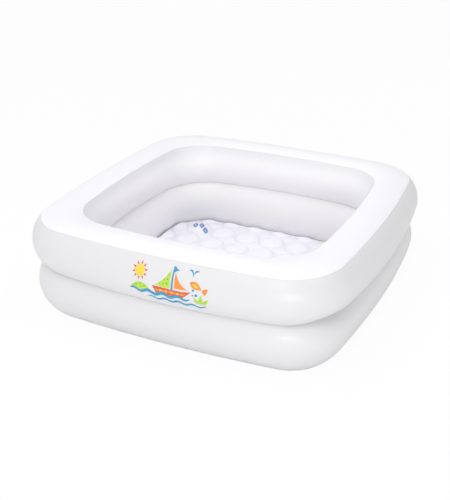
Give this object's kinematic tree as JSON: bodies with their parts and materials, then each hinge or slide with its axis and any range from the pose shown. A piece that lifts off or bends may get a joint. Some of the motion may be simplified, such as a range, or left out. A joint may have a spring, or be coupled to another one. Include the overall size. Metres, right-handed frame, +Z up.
{
  "type": "inflatable paddling pool",
  "caption": "Square inflatable paddling pool for babies: two stacked air rings with a flat white rim, round a quilted bubble floor.",
  "frame": {"origin": "on the ground under the middle of the pool", "axes": "+Z up, -Y towards the front side, which carries the print, +X to its right"},
  "size_m": [0.86, 0.86, 0.249],
  "materials": {
    "rim_vinyl": "smooth bright white soft PVC film, satin gloss",
    "wall_vinyl": "smooth pearl white soft PVC film, satin gloss",
    "floor_vinyl": "smooth soft PVC film with a faint lavender tint",
    "web_vinyl": "plain white soft PVC film",
    "valve_vinyl": "moulded soft PVC, milky",
    "plug_vinyl": "moulded soft PVC, milky"
  },
  "bodies": {
    "pool": {"rim_top_sheet": "rim_vinyl", "upper_outer_wall": "wall_vinyl", "upper_inner_wall": "wall_vinyl", "ring_divider": "web_vinyl", "lower_outer_wall": "wall_vinyl", "lower_inner_wall": "wall_vinyl", "floor_top_sheet": "floor_vinyl", "base_sheet": "wall_vinyl", "upper_valve_flange": "valve_vinyl", "lower_valve_flange": "valve_vinyl", "floor_valve_flange": "valve_vinyl"},
    "upper_stem": {"upper_valve_stem": "valve_vinyl"},
    "upper_plug": {"upper_valve_plug": "plug_vinyl"},
    "upper_flap": {"upper_valve_flap": "valve_vinyl"},
    "lower_stem": {"lower_valve_stem": "valve_vinyl"},
    "lower_plug": {"lower_valve_plug": "plug_vinyl"},
    "lower_flap": {"lower_valve_flap": "valve_vinyl"},
    "floor_stem": {"floor_valve_stem": "valve_vinyl"},
    "floor_plug": {"floor_valve_plug": "plug_vinyl"},
    "floor_flap": {"floor_valve_flap": "valve_vinyl"}
  },
  "joints": [
    {"name": "upper_stem_slide", "type": "slide", "parent": "pool", "child": "upper_stem", "axis": [0.078, 0.9961, 0.0424], "range_m": [0, 0.0085]},
    {"name": "upper_plug_hinge", "type": "hinge", "parent": "upper_stem", "child": "upper_plug", "pos_m": [0.17819, 0.42502, 0.19284], "axis": [0.997, -0.0779, -0.0033], "range_deg": [0, 110]},
    {"name": "upper_flap_hinge", "type": "hinge", "parent": "upper_stem", "child": "upper_flap", "pos_m": [0.17721, 0.41275, 0.18807], "axis": [-0.997, 0.0779, 0.0033], "range_deg": [0, 60]},
    {"name": "lower_stem_slide", "type": "slide", "parent": "pool", "child": "lower_stem", "axis": [0.079, 0.9946, -0.0668], "range_m": [0, 0.0085]},
    {"name": "lower_plug_hinge", "type": "hinge", "parent": "lower_stem", "child": "lower_plug", "pos_m": [0.17819, 0.41842, 0.08529], "axis": [0.9969, -0.0789, 0.0053], "range_deg": [0, 110]},
    {"name": "lower_flap_hinge", "type": "hinge", "parent": "lower_stem", "child": "lower_flap", "pos_m": [0.1772, 0.4057, 0.08188], "axis": [-0.9969, 0.0789, -0.0053], "range_deg": [0, 60]},
    {"name": "floor_stem_slide", "type": "slide", "parent": "pool", "child": "floor_stem", "axis": [0, 0, 1], "range_m": [0, 0.0045]},
    {"name": "floor_plug_hinge", "type": "hinge", "parent": "floor_stem", "child": "floor_plug", "pos_m": [0.171, -0.15525, 0.0153], "axis": [-1, 0, 0], "range_deg": [0, 110]},
    {"name": "floor_flap_hinge", "type": "hinge", "parent": "floor_stem", "child": "floor_flap", "pos_m": [0.171, -0.1595, 0.0068], "axis": [1, 0, 0], "range_deg": [0, 30]}
  ]
}
